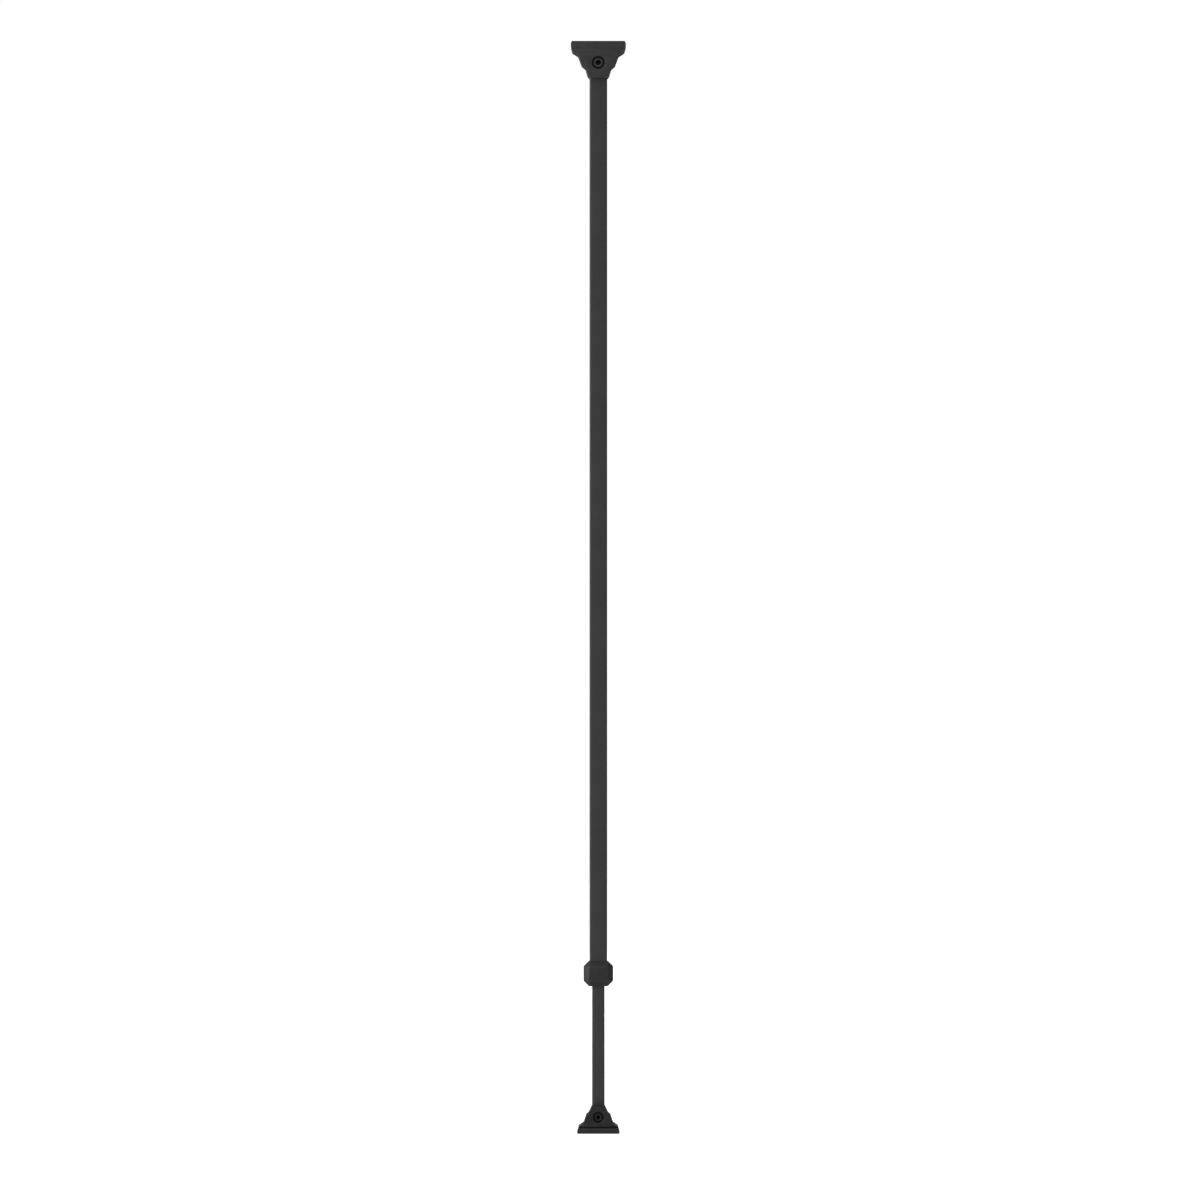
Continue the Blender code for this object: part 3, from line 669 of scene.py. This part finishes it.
def make_shoe(shoe):
    """The clevis: its block is rounded first, then it is cut, and the cuts' rims are rounded less."""
    seam = shoe.outline[0][1]
    piece = rounded_block(f"{shoe.name}_shoe_fine", shoe, shoe.ring_of(shoe.outline), shoe.half, seam,
                          SHOE_EDGE * shoe.size)
    slot_z = sorted((shoe.z(shoe.slot_floor), shoe.z(BEYOND)))
    cut(piece, box((-BEYOND, BEYOND), (-shoe.slot_half, shoe.slot_half), slot_z))
    front = shoe.pivot - Y_AXIS * shoe.half
    cut(piece, rod(shoe.bore, Y_AXIS, front - Y_AXIS * BEYOND, BEYOND + shoe.bore_depth))
    cut(piece, rod(shoe.shank + GAP, Y_AXIS, front, 2 * shoe.half, HIDDEN_SIDES))
    pocket = shoe.pivot + Y_AXIS * (shoe.slot_half + shoe.nut_wall)
    hexagon = loft(hex_loops(shoe.nut_flats + 2 * GAP, ((1, 0), (1, BEYOND))))
    cut(piece, placed(hexagon, Y_AXIS, pocket))
    if shoe.groove:
        groove_z = sorted((shoe.z(seam - BEYOND), shoe.z(seam + shoe.groove)))
        for side in (-1, 1):
            groove_y = sorted((side * (shoe.half - GROOVE_DEPTH), side * BEYOND))
            cut(piece, box((-BEYOND, BEYOND), groove_y, groove_z))
    cut(piece, *snap_studs(shoe, GAP))
    round_edges(piece, CUT_EDGE * shoe.size, segments=3, angle=SHARP_TURN)
    settle(piece)
    finish_piece(piece, f"{shoe.name}_shoe", shoe.name, shoe.shell)


def make_pad(shoe):
    """The rubber pad, up to its shoe's seam, with its studs and the treads of its face."""
    half_width, _, radius = shoe.pad_outline[-1]
    seam = shoe.outline[0][1] - PAD_SEAM
    outline = shoe.ring_of((*shoe.pad_outline[:-1], (half_width, seam, radius)))
    piece = rounded_block(f"{shoe.name}_pad_fine", shoe, outline, shoe.pad_half, seam,
                          PAD_EDGE * shoe.size)
    join(piece, *snap_studs(shoe, 0))
    tread_z = sorted((shoe.z(-BEYOND), shoe.z(TREAD_DEPTH * shoe.size)))
    reach = shoe.pad_outline[0][0] - TREAD_BORDER * shoe.size
    for place in TREAD_PLACES:
        for side in (-1, 1):
            middle, half = side * place * shoe.size, TREAD_WIDTH * shoe.size / 2
            cut(piece, box((-reach, reach), (middle - half, middle + half), tread_z))
    round_edges(piece, TREAD_EDGE * shoe.size, segments=3, angle=SHARP_TURN)
    settle(piece)
    finish_piece(piece, f"{shoe.name}_pad", shoe.name, shoe.rubber)


# ---- screws, nuts and washers --------------------------------------------------------------

KNURLS, KNURL_DEPTH = 36, 0.05   # round a screw's head, and as a share of its radius
KNURL_BAND = (0.20, 0.86)    # shares of the head's height
KNURL_LEVELS = 6
HEAD_RIM = 0.12              # a head's rounded rim, as a share of its radius
HEAD_MARGIN = 0.01           # around the knurls, as a share of the head's height
FILLET = (0.0002, 0.0003)    # where the head meets the shank: out from it and along it
TIP_DEPTH = 1.1              # the tip's chamfer, in thread depths
SOCKET_DEPTH = 0.5           # as a share of the head's height
THREAD_DEPTH = 0.61          # as a share of the pitch
THREAD_LEVELS = 6            # rows of points for each turn of a thread
NUT_HEX = 0.74               # the hexagon's part of a lock nut's height
NUT_FACE, NUT_CROWN = 0.48, 0.47     # radii of its flat end and of its crown, by its width
NUT_CONE = math.radians(30)
NUT_CONE_LEVELS = 6
NUT_ROUNDING = 0.0004
RING_SPARE = 0.0001          # between a lock nut and its nylon ring
RING_EDGE, WASHER_EDGE = 0.0002, 0.00018


def saw(turns):
    """A triangle wave from 0 to 1 and back, once per turn."""
    return abs(2 * (turns % 1) - 1)


def screw_piece(node, body, material, axis, top, cap, cap_height, shank, length, pitch, socket, plain):
    """A socket cap screw from the top of its head along the axis, with a knurled head and a thread."""
    start, stop = cap_height + plain, length - pitch
    rim, margin = HEAD_RIM * cap, HEAD_MARGIN * cap_height
    low, high = (share * cap_height for share in KNURL_BAND)
    profile = soft_profile([(cap - rim, 0.0), (cap, 0.0), (cap, low - 4 * margin)], rim)
    profile += [(cap, low + (high - low) * i / KNURL_LEVELS) for i in range(KNURL_LEVELS + 1)]
    under = [(cap, high + 6 * margin), (cap, cap_height), (shank + FILLET[0], cap_height)]
    profile += soft_profile(under, rim / 3)
    profile += [(shank, cap_height + FILLET[1]), (shank, start - pitch)]
    steps = math.ceil((stop - start) / pitch * THREAD_LEVELS)
    profile += [(shank, start + (stop - start) * i / steps) for i in range(steps + 1)]
    profile.append((shank - TIP_DEPTH * THREAD_DEPTH * pitch, length))

    def radius_at(radius, along, angle):
        turns = angle / (2 * math.pi)
        if low - margin < along < high + margin:
            return radius - KNURL_DEPTH * cap * saw(turns * KNURLS)
        if start - MERGE < along < stop + MERGE:
            fade = min(1.0, (along - start) / pitch)
            return radius - fade * THREAD_DEPTH * pitch * saw(along / pitch - turns)
        return radius

    piece = as_object(f"{node}_fine", turned(profile, axis, top, KNURLS * 4, radius_at=radius_at))
    cut(piece, hex_socket(socket, cap_height * SOCKET_DEPTH, axis, top))
    settle(piece)
    finish_piece(piece, node, body, material)


def lock_nut(flats, height, hole, seat, start):
    """A lock nut along Y: a hexagon with coned ends, then a round crown with its ring's seat."""
    hex_height, face, crown = NUT_HEX * height, NUT_FACE * flats, NUT_CROWN * flats
    corner, slope = flats / math.sqrt(3), math.tan(NUT_CONE)
    levels = [(corner - face) * slope * i / NUT_CONE_LEVELS for i in range(NUT_CONE_LEVELS + 1)]
    levels += [hex_height - level for level in reversed(levels)]
    profile = [(corner, level) for level in levels]
    rim = [(crown, hex_height), (crown, height), (seat, height), (seat, hex_height)]
    profile += soft_profile(rim, NUT_ROUNDING)
    profile += [(hole, hex_height), (hole, 0.0)]

    def radius_at(radius, along, angle):
        if radius < corner:
            return radius
        off_middle = angle % math.radians(60) - math.radians(30)
        return min(face + min(along, hex_height - along) / slope, flats / 2 / math.cos(off_middle))

    return turned(profile, Y_AXIS, start, closed=True, radius_at=radius_at)


def make_ring(node, body, material, middle, hole, edge):
    """A ring along Y, with its CAD node's size: a washer, an insert or a nut's nylon ring."""
    space = Box(node)
    start = Vector((middle.x, space.low.y, middle.z))
    piece = as_object(f"{node}_fine", ring(hole, space.size.x / 2, Y_AXIS, start, space.size.y, edge))
    finish_piece(piece, node, body, material)


def make_pivot(shoe):
    """The pivot screw, lock nut, its nylon ring and the two washers."""
    name, hole = shoe.name, shoe.shank + GAP
    screw, nut = Box(f"{name}_pivot_screw"), Box(f"{name}_pivot_nut")
    top = Vector((shoe.pivot.x, screw.low.y, shoe.pivot.z))
    screw_piece(f"{name}_pivot_screw", name, shoe.steel, Y_AXIS, top, shoe.cap, shoe.cap_height,
                shoe.shank, screw.size.y, shoe.pitch, shoe.socket, plain=0.5 * screw.size.y)

    start = Vector((shoe.pivot.x, nut.low.y, shoe.pivot.z))
    seat = Box(f"{name}_nut_ring").size.x / 2 + RING_SPARE
    piece = as_object(f"{name}_pivot_nut_fine", lock_nut(
        shoe.nut_flats, shoe.nut_height, hole, seat, start))
    finish_piece(piece, f"{name}_pivot_nut", name, ZINC)

    make_ring(f"{name}_nut_ring", name, NYLON, shoe.pivot, hole, RING_EDGE)
    for side in ("front", "rear"):
        make_ring(f"{name}_washer_{side}", name, MOULDED_FOOT, shoe.pivot, hole,
                  WASHER_EDGE)


# ---- tubes ---------------------------------------------------------------------------------

TUBE_WALL = 0.0012
TUBE_EDGE, HOLE_EDGE = 0.00025, 0.0002
TUBE_TURN = 0.3              # where an end's rounding has its middle point, as a share of it
CORNER_INSET = 0.8           # how much a corner's radius shrinks with the outline
HOLE_ANGLE = 60              # degrees
BORDER = 0.0012              # between a tube's end or hole and the next row of points
OUTER_CORNER, INNER_CORNER = 0.0021, 0.0017
DRILL = 0.04                 # length of a drill that goes through both walls
CLAMP_HOLE, COLLAR_SCREW_HOLE = 0.0028, 0.0017


def make_tube(name, body, corner, holes):
    """A square tube with rounded ends and drilled holes: (axis, place, radius)."""
    tube = Box(name)
    half, low, high, edge = tube.size.x / 2, tube.low.z, tube.high.z, TUBE_EDGE
    turn = TUBE_TURN * edge
    rim = [(0.0, high - edge), (turn, high - turn), (edge, high)]
    rim += [(TUBE_WALL - edge, high), (TUBE_WALL - turn, high - turn), (TUBE_WALL, high - edge)]
    borders = {low + BORDER, high - BORDER}
    for _, place, radius in holes:
        borders |= {z for way in (-1, 1) if low < (z := place.z + way * (radius + BORDER)) < high}
    borders = sorted(borders, reverse=True)
    levels = rim + [(TUBE_WALL, z) for z in borders]
    levels += [(inset, low + high - z) for inset, z in reversed(rim)]
    levels += [(0.0, z) for z in reversed(borders)]
    loops = []
    for inset, z in levels:
        loops.append(at_height(square_outline(half - inset, corner - inset * CORNER_INSET), z))
    piece = as_object(f"{name}_fine", loft(loops, closed=True))
    for axis, place, radius in holes:
        cut(piece, rod(radius, axis, place, DRILL, HIDDEN_SIDES))
    round_edges(piece, HOLE_EDGE, segments=2, angle=HOLE_ANGLE)
    settle(piece)
    finish_piece(piece, name, body, COAT)


def make_tubes():
    """Both tubes, with the holes for their pivots, the slider's pin, the clamp and the side screws."""
    clamp, pin = Box("clamp_screw"), Box("slider_pin")
    foot_bush, head_bush = Box("foot_pivot_bush"), Box("head_pivot_bush")
    left, ahead = -X_AXIS * DRILL / 2, -Y_AXIS * DRILL / 2
    clamp_place = Vector((0, 0, clamp.centre.z))
    make_tube("inner_tube", "inner_bar", INNER_CORNER, (
        (Y_AXIS, FOOT.pivot + ahead, foot_bush.size.z / 2 + GAP),
        (X_AXIS, Vector((0, 0, pin.centre.z)) + left, pin.size.z / 2 + GAP),
    ))
    make_tube("outer_tube", "outer_bar", OUTER_CORNER, (
        (Y_AXIS, HEAD.pivot + ahead, head_bush.size.z / 2 + GAP),
        (Y_AXIS, clamp_place, CLAMP_HOLE),
        (X_AXIS, clamp_place + left, COLLAR_SCREW_HOLE),
    ))


# ---- collar and clamp ----------------------------------------------------------------------

COLLAR_CHAMFER, COLLAR_EDGE, COLLAR_CUT_EDGE = 0.0058, 0.00075, 0.00018
COLLAR_ANGLE, COLLAR_CUT_ANGLE = 20, 55    # degrees; sharper edges are rounded
COLLAR_FLOOR = 0.0016
COLLAR_PAST, LIP_PAST = 0.01, 0.005    # how far the mouth's and the lip's cutters run on
COLLAR_DRILL = 0.03
MOUTH_SPARE, LIP_SPARE, INSERT_SPARE = 0.0002, 0.00035, 0.0002
SIDE_SHANK, SIDE_HEAD_HEIGHT, SIDE_PITCH, SIDE_PLAIN = 0.00145, 0.0019, 0.0005, 0.0006
SIDE_SOCKET, SIDE_BORE = 0.0020, 0.0030
INSERT_HOLE, INSERT_EDGE = 0.0027, 0.00025
CLAMP_PITCH, CLAMP_SOCKET, CLAMP_SOCKET_DEPTH = 0.0008, 0.0025, 0.0022
CLAMP_THREAD_DEPTH = 0.55    # as a share of the pitch
CLAMP_THREAD_LEVELS = 8
CLAMP_POINT = ((0.74, 0.0), (0.9, 0.0003))   # (share of the radius, distance from the tip)
CLAMP_THREAD_START, CLAMP_THREAD_SPARE = 0.0006, 0.0003
CLAMP_END = 0.88             # the rear end's chamfer, as a share of the radius


def make_collar():
    """The moulded collar: a block with every edge chamfered, over the tube's end."""
    collar, insert = Box("collar"), Box("clamp_insert")
    half, low, high = collar.size.x / 2, collar.low.z, collar.high.z
    block = box((-half, half), (-half, half), (low, high))
    bmesh.ops.recalc_face_normals(block, faces=block.faces)
    bmesh.ops.bevel(block, geom=block.edges[:], offset=COLLAR_CHAMFER, segments=1, affect="EDGES")
    piece = as_object("collar_fine", block)
    round_edges(piece, COLLAR_EDGE, segments=5, angle=COLLAR_ANGLE)
    mouth = square_outline(OUTER_SIDE / 2 + MOUTH_SPARE, OUTER_CORNER + MOUTH_SPARE)
    floor = low + COLLAR_FLOOR
    cut(piece, loft([at_height(mouth, floor), at_height(mouth, high + COLLAR_PAST)]))
    lip = square_outline(INNER_SIDE / 2 + LIP_SPARE, INNER_CORNER)
    cut(piece, loft([at_height(lip, low - COLLAR_PAST), at_height(lip, floor + LIP_PAST)]))
    middle = Vector((0, 0, Box("clamp_screw").centre.z))
    cut(piece, rod(insert.size.x / 2 + INSERT_SPARE, Y_AXIS, middle, COLLAR_DRILL))
    for side, name in ((-1, "left"), (1, "right")):
        screw = Box(f"collar_screw_{name}")
        seat = abs(screw.low.x if side < 0 else screw.high.x) - SIDE_HEAD_HEIGHT - GAP
        cut(piece, rod(SIDE_SHANK + GAP, X_AXIS * side, middle, COLLAR_DRILL, HIDDEN_SIDES))
        place = middle + X_AXIS * side * seat
        cut(piece, rod(SIDE_BORE + GAP, X_AXIS * side, place, COLLAR_DRILL))
    round_edges(piece, COLLAR_CUT_EDGE, segments=2, angle=COLLAR_CUT_ANGLE)
    settle(piece)
    finish_piece(piece, "collar", "outer_bar", MOULDED_COLLAR)


def make_side_screws():
    """The two screws that hold the collar on the tube."""
    for side, name in ((-1, "left"), (1, "right")):
        screw = Box(f"collar_screw_{name}")
        top = Vector((screw.low.x if side < 0 else screw.high.x, 0, screw.centre.z))
        screw_piece(f"collar_screw_{name}", "outer_bar", STEEL_SIDE, -X_AXIS * side, top,
                    screw.size.z / 2, SIDE_HEAD_HEIGHT, SIDE_SHANK, screw.size.x, SIDE_PITCH,
                    SIDE_SOCKET, SIDE_PLAIN)


def make_clamp_screw():
    """The threaded set screw, with its socket at the rear end."""
    screw = Box("clamp_screw")
    radius, length = screw.size.x / 2, screw.size.y
    steps = math.ceil(length / CLAMP_PITCH * CLAMP_THREAD_LEVELS)
    thread = length - CLAMP_THREAD_START - CLAMP_THREAD_SPARE
    profile = [(share * radius, along) for share, along in CLAMP_POINT]
    profile += [(radius, CLAMP_THREAD_START + thread * i / steps) for i in range(steps + 1)]
    profile.append((CLAMP_END * radius, length))

    def radius_at(r, along, angle):
        if not CLAMP_THREAD_START <= along < length:
            return r
        return r - CLAMP_THREAD_DEPTH * CLAMP_PITCH * saw(along / CLAMP_PITCH - angle / (2 * math.pi))

    start = Vector((0, screw.low.y, screw.centre.z))
    piece = as_object("clamp_screw_fine", turned(profile, Y_AXIS, start, radius_at=radius_at))
    cut(piece, hex_socket(CLAMP_SOCKET, CLAMP_SOCKET_DEPTH, -Y_AXIS, start + Y_AXIS * length))
    settle(piece)
    finish_piece(piece, "clamp_screw", "clamp_screw", STEEL_CLAMP)


# ---- pieces inside the tubes and the collar ------------------------------------------------

INNER_EDGE = 0.00025
INNER_SMOOTH_ANGLE = math.radians(40)
INNER_PIECES = {             # body, slot and material
    "inner_tube_plug": ("inner_bar", "natural_nylon", NYLON),
    "inner_tube_slider": ("inner_bar", "natural_nylon", NYLON),
    "slider_pin": ("inner_bar", "blackened_steel", STEEL_SIDE),
    "foot_pivot_bush": ("inner_bar", "zinc_steel", ZINC),
    "outer_tube_plug": ("outer_bar", "natural_nylon", NYLON),
    "collar_liner": ("outer_bar", "natural_nylon", NYLON),
    "head_pivot_bush": ("outer_bar", "zinc_steel", ZINC),
    "clamp_pad": ("clamp_pad", "natural_nylon", NYLON),
}


def make_inner_pieces():
    """A copy of each CAD shape with its edges rounded."""
    for name, (body, slot, material) in INNER_PIECES.items():
        shape = bmesh.new()
        shape.from_mesh(frame["nodes"][name].data)
        bmesh.ops.remove_doubles(shape, verts=shape.verts, dist=MERGE)
        bmesh.ops.dissolve_limit(shape, angle_limit=FLAT_ANGLE, verts=shape.verts, edges=shape.edges)
        piece = as_object(f"{name}_fine", shape)
        round_edges(piece, INNER_EDGE, segments=2, angle=SHARP_TURN)
        settle(piece)
        finish_piece(piece, name, body, material, INNER_SMOOTH_ANGLE)


# ---- floor, light and camera ---------------------------------------------------------------

CAMERA_AWAY = 8.0
VIEW_HEIGHT = 1.2979         # height of the view where the bar stands
SENSOR = 36.0
AIM = Vector((0.0018, 0.0, 0.5763))

FLOOR_RADIUS = 7.0
FLOOR_GLOW = 0.85            # the floor's own light, seen only by the camera
ROOM_LIGHT_FROM = Vector((-0.8, -0.5, 0.2))
ROOM_DARK, ROOM_LIGHT = 0.15, 0.42
MIDDLE = (0, 0, 0.6)
LIGHTS = (                   # name, place, aim, (width, height), power
    ("key_left", (-3.2, -1.0, 1.2), MIDDLE, (1.2, 2.6), 62.0),
    ("front_fill", (-0.8, -4.5, 1.4), MIDDLE, (2.5, 2.5), 8.0),
    ("overhead", (-0.6, -0.6, 3.4), MIDDLE, (2.0, 2.0), 7.0),
    ("back_high", (0.2, 3.4, 2.2), MIDDLE, (3.2, 1.0), 95.0),
)


def area_light(name, place, aim, size, power):
    """A rectangular light that the camera doesn't see."""
    data = bpy.data.lights.new(name, "AREA")
    data.shape = "RECTANGLE"
    data.size, data.size_y = size
    data.energy = power
    light = bpy.data.objects.new(name, data)
    light.location = place
    light.rotation_euler = (Vector(aim) - Vector(place)).to_track_quat("-Z", "Y").to_euler()
    light.visible_camera = False
    bpy.context.scene.collection.objects.link(light)


def make_room():
    """White behind the bar; round it, a dim soft room that is lightest to the left and above."""
    world = bpy.data.worlds.new("studio")
    world.use_nodes = True
    paint = Nodes(world.node_tree)
    where = paint.add("TexCoord").outputs["Generated"]
    toward = paint.add("VectorMath")
    toward.operation = "DOT_PRODUCT"
    paint.put(toward.inputs[0], where)
    toward.inputs[1].default_value = ROOM_LIGHT_FROM.normalized()
    room = paint.span(toward.outputs["Value"], -1.0, 1.0, ROOM_DARK, ROOM_LIGHT)
    seen = paint.add("LightPath").outputs["Is Camera Ray"]
    strength = paint.add("Mix")
    paint.put(strength.inputs["Factor"], seen)
    paint.put(strength.inputs["A"], room)
    strength.inputs["B"].default_value = 1.0
    background = world.node_tree.nodes["Background"]
    background.inputs["Color"].default_value = (1.0, 1.0, 1.0, 1.0)
    paint.put(background.inputs["Strength"], strength.outputs["Result"])
    bpy.context.scene.world = world


def make_stage():
    """The floor, the room and the lights, which aren't part of the bar."""
    bpy.ops.mesh.primitive_circle_add(vertices=96, radius=FLOOR_RADIUS, fill_type="NGON")
    floor = bpy.context.object
    floor.name = "floor"
    floor.data.materials.append(pale_floor())
    make_room()
    for light in LIGHTS:
        area_light(*light)


def make_camera():
    """A long lens straight in front of the bar, for the photograph's view."""
    data = bpy.data.cameras.new("camera")
    data.sensor_width = SENSOR
    data.lens = SENSOR * CAMERA_AWAY / VIEW_HEIGHT
    data.clip_start, data.clip_end = 0.1, 100.0
    camera = bpy.data.objects.new("camera", data)
    camera.location = AIM - Y_AXIS * CAMERA_AWAY
    camera.rotation_euler = (math.radians(90), 0, 0)
    bpy.context.scene.collection.objects.link(camera)
    bpy.context.scene.camera = camera
    bpy.context.scene.view_settings.view_transform = "Standard"


def build():
    for shoe in (FOOT, HEAD):
        make_shoe(shoe)
        make_pad(shoe)
        make_pivot(shoe)
    make_tubes()
    make_collar()
    make_ring("clamp_insert", "outer_bar", BRASS, Box("clamp_insert").centre, INSERT_HOLE,
              INSERT_EDGE)
    make_clamp_screw()
    make_side_screws()
    make_inner_pieces()
    make_stage()
    make_camera()


build()
